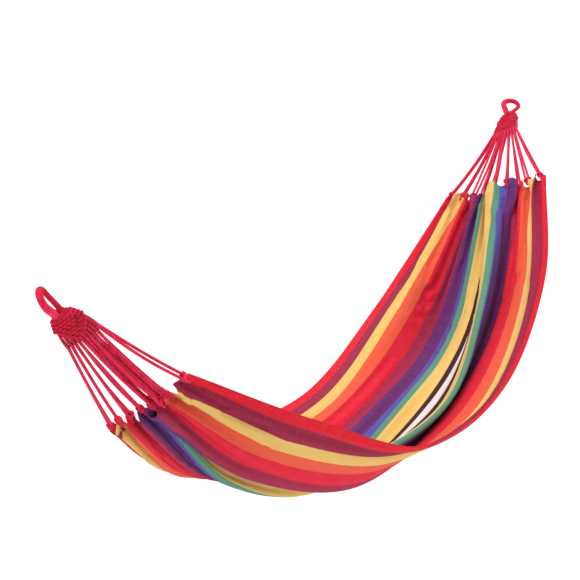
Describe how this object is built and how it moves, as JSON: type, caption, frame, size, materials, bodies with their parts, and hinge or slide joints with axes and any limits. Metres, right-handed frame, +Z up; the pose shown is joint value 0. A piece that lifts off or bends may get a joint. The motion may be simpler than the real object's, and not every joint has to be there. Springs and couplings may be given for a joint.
{
  "type": "striped cloth hammock",
  "caption": "Cotton sheet hammock with lengthwise stripes, hung at both ends by fans of doubled cords that meet in a woven collar and a served rope eye.",
  "frame": {"origin": "centre of the left eye, where the hammock hangs on its hook", "axes": "+X level towards the right eye, +Y towards the far edge of the cloth, +Z up"},
  "size_m": [2.3558, 0.6215, 0.7439],
  "materials": {
    "cloth": "striped woven cotton canvas",
    "seam": "cotton sewing thread",
    "cord": "twisted cotton cord",
    "serving": "close-wrapped cotton cord",
    "collar": "interlaced cotton cord",
    "core": "rope strands"
  },
  "bodies": {
    "eyes": {"left_eye_core": "core", "left_eye_serving": "serving", "right_eye_core": "core", "right_eye_serving": "serving"},
    "hammock": {"bed_cloth": "cloth", "near_side_seam": "seam", "far_side_seam": "seam", "left_hem_seam": "seam", "right_hem_seam": "seam", "left_neck_core": "core", "left_throat_whipping": "serving", "left_collar_warp": "collar", "left_collar_weft": "collar", "right_neck_core": "core", "right_throat_whipping": "serving", "right_collar_warp": "collar", "right_collar_weft": "collar", "left_cord_01": "cord", "left_cord_02": "cord", "left_cord_03": "cord", "left_cord_04": "cord", "left_cord_05": "cord", "left_cord_06": "cord", "left_cord_07": "cord", "left_cord_08": "cord", "left_cord_09": "cord", "left_cord_10": "cord", "right_cord_01": "cord", "right_cord_02": "cord", "right_cord_03": "cord", "right_cord_04": "cord", "right_cord_05": "cord", "right_cord_06": "cord", "right_cord_07": "cord", "right_cord_08": "cord", "right_cord_09": "cord", "right_cord_10": "cord"}
  },
  "joints": [
    {"name": "swing", "type": "hinge", "parent": "eyes", "child": "hammock", "pos_m": [0, 0, 0], "axis": [1, 0, 0], "range_deg": [-40, 40]}
  ]
}
